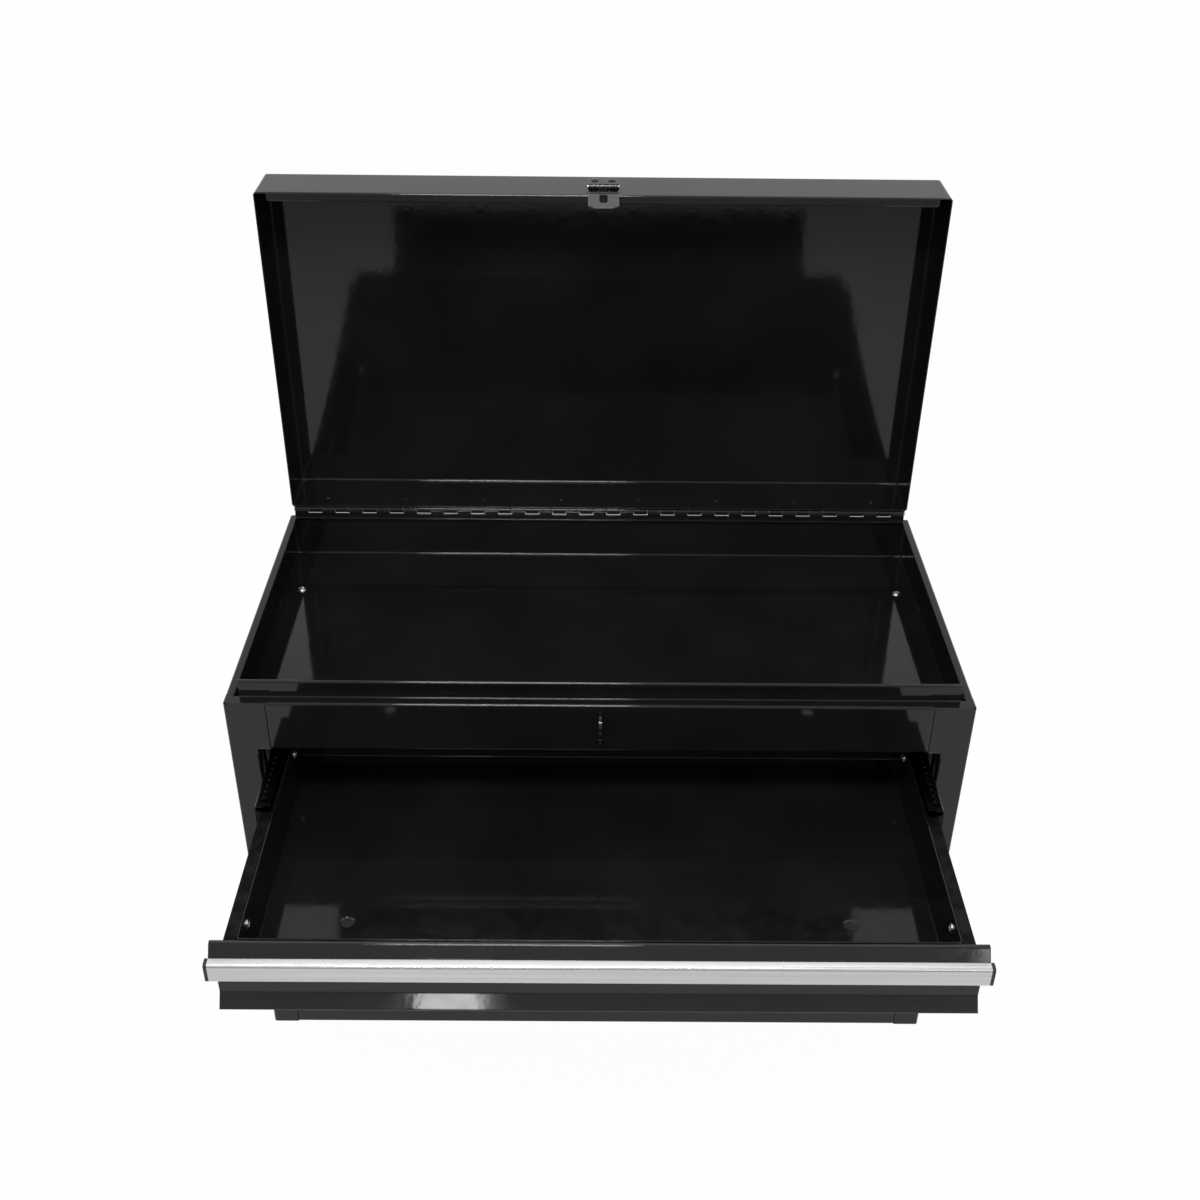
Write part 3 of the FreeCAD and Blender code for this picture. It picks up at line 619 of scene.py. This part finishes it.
@dataclass
class DomeRivet:
    """Blind rivet: domed flange outside, low tail inside."""

    head_radius: float = 3.25 * MM
    head_height: float = 1.2 * MM
    tail_radius: float = 2.6 * MM
    tail_height: float = 0.5 * MM
    segments: int = 28
    rings: int = 10
    dome_power: float = 2.4
    dimple_depth: float = 0.5 * MM
    dimple_share: float = 0.30
    dimple_soft: float = 0.12

    def cap(self, radius: float, height: float, dimple: float) -> np.ndarray:
        """Dome with a small dimple at its middle.

        Height is h sqrt(1 - s^2.4) less the dimple within its share of the rim, with s = r/R.

        Args:
            radius: Rim radius.
            height: Height at the middle.
            dimple: Depth of the dimple.

        Returns:
            Grid about +Z with its rim on z = 0.
        """
        share = np.sin(np.linspace(0.0, 1.0, self.rings) * np.pi / 2.0)
        level = height * np.sqrt(np.clip(1.0 - share ** self.dome_power, 0.0, 1.0))
        level = level - dimple * smooth_step((self.dimple_share - share) / self.dimple_soft)
        return lathe(np.stack([share * radius, level], axis=1), self.segments)

    def add(self, mesh: GridMesh, centre: Point, outward: Point, grip: float) -> None:
        """Add one rivet to a mesh.

        Args:
            mesh: Mesh that takes the points.
            centre: Middle of the head's seat.
            outward: Way the head looks.
            grip: Thickness it clamps.
        """
        out = np.array(outward, float)
        head = self.cap(self.head_radius, self.head_height, self.dimple_depth)
        tail = self.cap(self.tail_radius, self.tail_height, 0.0)
        base = lathe(np.array([[self.head_radius, 0.0], [0.0, 0.0]]), self.segments)
        tail_base = lathe(np.array([[self.tail_radius, 0.0], [0.0, 0.0]]), self.segments)
        place = np.array(centre, float)
        for grid in (head, base):
            mesh.add_grid(aimed(grid, outward) + place)
        for grid in (tail, tail_base):
            mesh.add_grid(aimed(grid, tuple(-out)) + place - out * grip)


# ---- Sub-assemblies ---------------------------------------------------------------------------


def place(piece: bpy.types.Object, body: str, slot: Slot, *nodes: str) -> None:
    """Let a piece ride on a body and stand for CAD nodes.

    Args:
        piece: The finished object.
        body: Body it moves with.
        slot: Slot of its finish; not used.
        nodes: CAD nodes it replaces, if any.
    """
    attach(piece, body)
    if nodes:
        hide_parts(*nodes)
    LOG.info("built %s on %s: %d faces", piece.name, body, len(piece.data.polygons))


@dataclass
class Case:
    """Fixed box: its own fasteners, and the sizes that hinge, hasp and drawers start from."""

    depth: float = 305.0 * MM
    rim: float = 370.0 * MM
    till_drop: float = 41.0 * MM
    screw_x: float = 281.0 * MM
    screw_rows: Tuple[float, float] = (72.0 * MM, 232.0 * MM)
    screw_reach: float = 9.0 * MM
    staple_rivet_z: float = 334.0 * MM
    staple_grip: float = 2.5 * MM
    staple_rivet_size: Tuple[float, float] = (2.6 * MM, 1.2 * MM)

    @property
    def front(self) -> float:
        """Y of the front plane."""
        return -self.depth / 2.0

    @property
    def rear(self) -> float:
        """Y of the rear plane."""
        return self.depth / 2.0

    def till_screws(self, shelf: FinishShelf) -> None:
        """Build the cross-recess screws in the till floor.

        Args:
            shelf: The finishes.
        """
        mesh = GridMesh()
        for side in (-1.0, 1.0):
            for row in self.screw_rows:
                centre = (side * self.screw_x, self.front + row, self.rim - self.till_drop)
                CrossScrew().add(mesh, centre, (0.0, 0.0, 1.0), self.screw_reach)
        made = mesh.build("till_screw_heads", shelf.by_slot[Slot.ZINC])
        place(made, Body.CASE.named(), Slot.ZINC, "till_screws")

    def staple_rivet(self, shelf: FinishShelf) -> None:
        """Build the darkened rivet under the staple.

        Args:
            shelf: The finishes.
        """
        mesh = GridMesh()
        rivet = DomeRivet(*self.staple_rivet_size)
        rivet.add(mesh, (0.0, self.front, self.staple_rivet_z), (0.0, -1.0, 0.0), self.staple_grip)
        made = mesh.build("staple_rivet_dome", shelf.by_node["staple_rivet"])
        place(made, Body.CASE.named(), Slot.ZINC, "staple_rivet")


@dataclass
class Hinge:
    """Piano hinge: pin line and rivet rows."""

    case: Case
    pin_back: float = 4.15 * MM
    pin_rise: float = 4.0 * MM
    leaf: float = 1.5 * MM
    sheet: float = 1.0 * MM
    row: float = 12.0 * MM
    rivets: int = 8
    reach: float = 266.0 * MM
    open_deg: float = 89.0

    @property
    def pin(self) -> np.ndarray:
        """Point on the pin line in the middle plane."""
        return np.array([0.0, self.case.rear + self.pin_back, self.case.rim + self.pin_rise])

    def swing(self, point: Point) -> Point:
        """Place a point of the closed lid where the open lid has it."""
        turn = Matrix.Rotation(-math.radians(self.open_deg), 3, "X")
        return tuple(turn @ (Vector(point) - Vector(self.pin)) + Vector(self.pin))

    def swing_way(self, way: Point) -> Point:
        """Turn a direction of the closed lid with the lid."""
        return tuple(Matrix.Rotation(-math.radians(self.open_deg), 3, "X") @ Vector(way))

    def rivet_rows(self, shelf: FinishShelf) -> None:
        """Build the domed rivets of both leaves.

        Args:
            shelf: The finishes.
        """
        across = np.linspace(-self.reach, self.reach, self.rivets)
        seat = self.case.rear + self.leaf
        grip = self.leaf + self.sheet
        low = GridMesh()
        high = GridMesh()
        for x in across.tolist():
            DomeRivet().add(low, (x, seat, float(self.pin[2]) - self.row), (0.0, 1.0, 0.0), grip)
            DomeRivet().add(high, self.swing((x, seat, float(self.pin[2]) + self.row)),
                            self.swing_way((0.0, 1.0, 0.0)), grip)
        paint = shelf.by_slot[Slot.PAINT]
        place(low.build("case_leaf_rivets", paint), Body.CASE.named(), Slot.PAINT, "hinge_case_rivets")
        place(high.build("lid_leaf_rivets", paint), Body.LID.named(), Slot.PAINT, "hinge_lid_rivets")


@dataclass
class Hasp:
    """Rivets of the hasp leaf."""

    hinge: Hinge
    overhang: float = 3.0 * MM
    sheet: float = 1.2 * MM
    lid_sheet: float = 1.0 * MM
    axis_rise: float = 14.0 * MM
    row: float = 22.0 * MM
    rivet_x: float = 7.5 * MM

    def rivets(self, shelf: FinishShelf) -> None:
        """Build the two domed rivets of the fixed leaf.

        Args:
            shelf: The finishes.
        """
        mesh = GridMesh()
        case = self.hinge.case
        for x in (-self.rivet_x, self.rivet_x):
            seat = (x, case.front - self.overhang - self.sheet, case.rim + self.axis_rise + self.row)
            DomeRivet().add(mesh, self.hinge.swing(seat), self.hinge.swing_way((0.0, -1.0, 0.0)),
                            self.sheet + self.lid_sheet)
        place(mesh.build("hasp_rivet_domes", shelf.by_slot[Slot.PAINT]), Body.LID.named(), Slot.PAINT,
              "hasp_rivets")


@dataclass
class Drawer:
    """One drawer and its runner: the screws and ball cages that dress their solids."""

    case: Case
    number: int
    top: float
    drawn: float = 0.0
    tray_half: float = 255.6 * MM
    screw_rows: Tuple[float, float] = (39.0 * MM, 232.5 * MM)
    slide_drop: float = 12.5 * MM
    cage_rows: Tuple[float, float] = (53.0 * MM, 215.0 * MM)
    inner_race: Tuple[float, float, float, float] = (5.6 * MM, 9.4 * MM, 9.6 * MM, 12.0 * MM)
    outer_race: Tuple[float, float, float, float] = (5.6 * MM, 12.0 * MM, 13.4 * MM, 15.5 * MM)
    ball_pitch: float = 7.0 * MM
    ball_play: float = 0.05 * MM
    ball_grid: Tuple[int, int] = (6, 8)
    ball_smooth_deg: float = 50.0
    strip: float = 0.5 * MM
    wall: float = 1.0 * MM
    screw_reach: float = 3.2 * MM
    runner_share: float = 0.5

    @property
    def level(self) -> float:
        """Height of the middle line of the slides."""
        return self.top - self.slide_drop

    def y(self, closed: float, ratio: float = 1.0) -> float:
        """Place a closed depth at the rest position."""
        return self.case.front + closed - self.drawn * ratio

    def rail_screws(self, shelf: FinishShelf) -> None:
        """Build the cross-recess screws inside the tray walls.

        Args:
            shelf: The finishes.
        """
        mesh = GridMesh()
        screw = CrossScrew(head_radius=3.5 * MM, head_height=1.8 * MM, recess_half=0.5 * MM,
                           recess_reach=2.0 * MM, recess_depth=1.1 * MM, rings=18, segments=48)
        for side in (-1.0, 1.0):
            for row in self.screw_rows:
                centre = (side * (self.tray_half - self.wall), self.y(row), self.level)
                screw.add(mesh, centre, (-side, 0.0, 0.0), self.screw_reach)
        made = mesh.build("rail_screw_heads_%d" % self.number, shelf.by_slot[Slot.ZINC])
        place(made, Body.DRAWER.named(self.number), Slot.ZINC, "rail_screws_%d" % self.number)

    def bar(self, low: Point, high: Point) -> np.ndarray:
        """Strip along Y with a rectangular section and closed ends.

        Rows are the middle of the near end, the section there, the section at the far end and
        its middle; the section's corners go round once.

        Args:
            low: Corner with the smallest coordinates.
            high: Corner with the largest coordinates.

        Returns:
            Grid of points, 4 x 4 x 3.
        """
        x = np.array([low[0], high[0], high[0], low[0]])
        z = np.array([low[2], low[2], high[2], high[2]])
        near = np.stack([x, np.full(4, low[1]), z], axis=1)
        far = np.stack([x, np.full(4, high[1]), z], axis=1)
        ends = [np.repeat(row.mean(axis=0)[None], 4, axis=0) for row in (near, far)]
        return np.stack([ends[0], near, far, ends[1]])

    def ball_cages(self, shelf: FinishShelf) -> None:
        """Build the thin cage strips with a row of balls in each race.

        A ball's profile is (R sin t, -R cos t) for t from 0 to pi, turned about Z; its copies
        stand at even steps along Y between the ends of the strip.

        Args:
            shelf: The finishes.
        """
        mesh = GridMesh()
        start, end = (self.y(row, self.runner_share) for row in self.cage_rows)
        rings, segments = self.ball_grid
        turn = np.linspace(0.0, np.pi, rings)
        rows = np.arange(start + self.ball_pitch / 2.0, end, self.ball_pitch)
        for s0, s1, low, high in (self.inner_race, self.outer_race):
            radius = (high - low) / 2.0 - self.ball_play
            ball = lathe(np.stack([radius * np.sin(turn), -radius * np.cos(turn)], axis=1), segments)
            middle = (low + high) / 2.0
            for side in (-1.0, 1.0):
                x0, x1 = sorted((side * (self.tray_half + s0), side * (self.tray_half + s1)))
                for way in (-1.0, 1.0):
                    z = self.level + way * middle
                    low_edge, high_edge = z - self.strip / 2.0, z + self.strip / 2.0
                    mesh.add_grid(self.bar((x0, start, low_edge), (x1, end, high_edge)))
                    x = np.full_like(rows, (x0 + x1) / 2.0)
                    mesh.add_copies(ball, np.stack([x, rows, np.full_like(rows, z)], axis=1))
        made = mesh.build("cages_with_balls_%d" % self.number, shelf.by_slot[Slot.SLIDE],
                          self.ball_smooth_deg)
        place(made, Body.RUNNER.named(self.number), Slot.SLIDE, "ball_cages_%d" % self.number)


@dataclass
class Camera:
    """Fixed view from the front, above the chest."""

    lens: float = 43.11
    sensor: float = 36.0
    pitch: float = 32.91
    yaw: float = 0.46
    roll: float = 0.67
    location: Point = (-0.0087, -1.0655, 1.0611)
    clip: Tuple[float, float] = (0.01, 100.0)

    def build(self) -> bpy.types.Object:
        """Place the camera and make it the scene's.

        Returns:
            The camera.
        """
        pitch, yaw, roll = (math.radians(v) for v in (self.pitch, self.yaw, self.roll))
        level_part = math.cos(pitch)
        forward = Vector((math.sin(yaw) * level_part, math.cos(yaw) * level_part, -math.sin(pitch)))
        right = Vector((math.cos(yaw), -math.sin(yaw), 0.0))
        up = right.cross(forward)
        level = math.cos(roll) * right + math.sin(roll) * up
        rise = -math.sin(roll) * right + math.cos(roll) * up
        data = bpy.data.cameras.new("view")
        data.lens = self.lens
        data.sensor_width = self.sensor
        data.clip_start, data.clip_end = self.clip
        made = bpy.data.objects.new("view", data)
        turned = Matrix((level, rise, -forward)).transposed().to_4x4()
        made.matrix_world = Matrix.Translation(self.location) @ turned
        bpy.context.scene.collection.objects.link(made)
        bpy.context.scene.camera = made
        return made


@dataclass
class SoftBox:
    """Rectangular lamp that looks at a target."""

    name: str
    location: Point
    target: Point
    width: float
    height: float
    power: float

    def build(self) -> None:
        """Add the lamp, turned to its target."""
        data = bpy.data.lights.new(self.name, "AREA")
        data.shape = "RECTANGLE"
        data.size = self.width
        data.size_y = self.height
        data.energy = self.power
        made = bpy.data.objects.new(self.name, data)
        made.location = self.location
        way = Vector(self.target) - Vector(self.location)
        made.rotation_euler = way.to_track_quat("-Z", "Y").to_euler()
        bpy.context.scene.collection.objects.link(made)


@dataclass
class Studio:
    """Pale floor, soft lamps and a white surround."""

    floor_half: float = 12.0
    floor_tone: float = 0.90
    ambient: float = 0.42
    shown_share: float = 0.975
    gloss_share: float = 0.90
    # Glow strength of the floor in gloss, near and far, and the rows of the step between: the dimming far
    # in front is painted shade in reflections.
    gloss_near: float = 0.84
    gloss_far: float = 0.30
    gloss_rows: Tuple[float, float] = (-0.98, -0.62)
    gloss_sky: float = 0.70
    boxes: List[SoftBox] = field(default_factory=lambda: [
        SoftBox("key", (-0.16, -0.95, 1.95), (0.0, -0.1, 0.3), 0.47, 0.30, 21.0),
        SoftBox("window", (-0.37, -3.0, 1.27), (-0.1, -0.35, 0.25), 0.17, 0.17, 1.5),
        SoftBox("right_pane", (1.25, -3.0, 1.50), (0.25, -0.36, 0.3), 0.40, 0.35, 2.6),
        SoftBox("soft_left", (-1.7, -1.3, 1.7), (0.0, 0.0, 0.2), 1.0, 1.0, 9.0),
        SoftBox("soft_right", (1.8, -1.1, 1.6), (0.0, 0.0, 0.2), 1.0, 1.0, 9.0),
        SoftBox("soft_top", (0.0, 0.9, 2.2), (0.0, 0.0, 0.3), 1.8, 0.9, 6.0)])

    def stepped(self, tree: bpy.types.NodeTree, source: bpy.types.NodeSocket, span: Tuple[float, float],
                values: Tuple[float, float]) -> bpy.types.NodeSocket:
        """Smooth step of a number between two values.

        Args:
            tree: Tree that takes the node.
            source: The number.
            span: Where the step starts and ends.
            values: What it gives before and after.

        Returns:
            The stepped value.
        """
        made = tree.nodes.new("ShaderNodeMapRange")
        made.interpolation_type = "SMOOTHSTEP"
        for name, value in zip(("From Min", "From Max", "To Min", "To Max"), (*span, *values)):
            made.inputs[name].default_value = value
        tree.links.new(source, made.inputs["Value"])
        return made.outputs["Result"]

    def seen(self, tree: bpy.types.NodeTree, path: bpy.types.Node) -> bpy.types.NodeSocket:
        """1 for rays that show the studio straight or through a clear piece, else 0."""
        return worked(tree, "MAXIMUM", path.outputs["Is Camera Ray"], path.outputs["Is Transmission Ray"])

    def mixed(self, output: bpy.types.Node, share: bpy.types.NodeSocket,
              first: bpy.types.Node, second: bpy.types.Node) -> None:
        """Send two shaders, mixed by a share, to an output.

        Args:
            output: Output node of a material or world.
            share: Share of the second shader.
            first: Shader at 0.
            second: Shader at 1.
        """
        tree = output.id_data
        mix = tree.nodes.new("ShaderNodeMixShader")
        tree.links.new(share, mix.inputs[0])
        tree.links.new(first.outputs[0], mix.inputs[1])
        tree.links.new(second.outputs[0], mix.inputs[2])
        tree.links.new(mix.outputs[0], output.inputs["Surface"])

    def floor(self) -> None:
        """Build the pale floor, which shows as white and keeps the shadow.

        Shown rays see mostly a glow of strength 1, and the rest is the lit floor with its
        shadow. In gloss the glow dims beyond a step in front: painted shade, seen only in reflections.
        """
        half = self.floor_half
        mesh = bpy.data.meshes.new("studio_floor")
        mesh.from_pydata([(-half, -half, 0.0), (half, -half, 0.0), (half, half, 0.0), (-half, half, 0.0)],
                         [], [(0, 1, 2, 3)])
        material = bpy.data.materials.new("pale_floor")
        material.use_nodes = True
        tree = material.node_tree
        tree.nodes.clear()
        output = tree.nodes.new("ShaderNodeOutputMaterial")
        diffuse = tree.nodes.new("ShaderNodeBsdfDiffuse")
        diffuse.inputs["Color"].default_value = (*(self.floor_tone,) * 3, 1.0)
        glow = tree.nodes.new("ShaderNodeEmission")
        glow.inputs["Color"].default_value = WHITE
        path = tree.nodes.new("ShaderNodeLightPath")
        parts = tree.nodes.new("ShaderNodeSeparateXYZ")
        tree.links.new(tree.nodes.new("ShaderNodeTexCoord").outputs["Object"], parts.inputs[0])
        # Painted shade in reflections: the glow seen in gloss dims across gloss_rows from gloss_near to
        # gloss_far.
        fading = self.stepped(tree, parts.outputs["Y"], self.gloss_rows, (self.gloss_far, self.gloss_near))
        gloss = worked(tree, "MULTIPLY", path.outputs["Is Glossy Ray"], fading)
        clear = self.seen(tree, path)
        tree.links.new(worked(tree, "MAXIMUM", clear, gloss), glow.inputs["Strength"])
        share = worked(tree, "MAXIMUM", worked(tree, "MULTIPLY", clear, self.shown_share),
                       worked(tree, "MULTIPLY", path.outputs["Is Glossy Ray"], self.gloss_share))
        self.mixed(output, share, diffuse, glow)
        mesh.materials.append(material)
        made = bpy.data.objects.new("studio_floor", mesh)
        bpy.context.scene.collection.objects.link(made)

    def surround(self) -> None:
        """Set the surround: white where it shows, a little dimmer in gloss, softer as light."""
        world = bpy.data.worlds.new("surround")
        bpy.context.scene.world = world
        world.use_nodes = True
        tree = world.node_tree
        tree.nodes.clear()
        output = tree.nodes.new("ShaderNodeOutputWorld")
        path = tree.nodes.new("ShaderNodeLightPath")
        clear = self.seen(tree, path)
        gloss = worked(tree, "MULTIPLY", path.outputs["Is Glossy Ray"], self.gloss_sky)
        light = tree.nodes.new("ShaderNodeBackground")
        light.inputs["Color"].default_value = WHITE
        light.inputs["Strength"].default_value = self.ambient
        white = tree.nodes.new("ShaderNodeBackground")
        white.inputs["Color"].default_value = WHITE
        tree.links.new(worked(tree, "MAXIMUM", clear, gloss), white.inputs["Strength"])
        share = worked(tree, "MAXIMUM", clear, path.outputs["Is Glossy Ray"])
        self.mixed(output, share, light, white)

    def build(self) -> None:
        """Set floor, surround, lamps and view transform."""
        self.floor()
        self.surround()
        for box in self.boxes:
            box.build()
        bpy.context.scene.view_settings.view_transform = "Standard"


def main() -> None:
    """Build every sub-assembly in order."""
    logging.basicConfig(level=logging.INFO, format="%(name)s: %(message)s")
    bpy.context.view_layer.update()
    shelf = FinishShelf()
    shelf.dress_frame(frame)
    case = Case()
    case.till_screws(shelf)
    case.staple_rivet(shelf)
    hinge = Hinge(case)
    hinge.rivet_rows(shelf)
    Hasp(hinge).rivets(shelf)
    for number in range(1, DRAWERS + 1):
        top = FIRST_TOP - (number - 1) * DRAWER_PITCH
        drawer = Drawer(case, number, top, FIRST_DRAWN if number == 1 else 0.0)
        drawer.rail_screws(shelf)
        drawer.ball_cages(shelf)
    Studio().build()
    Camera().build()


if __name__ == "__main__":
    main()
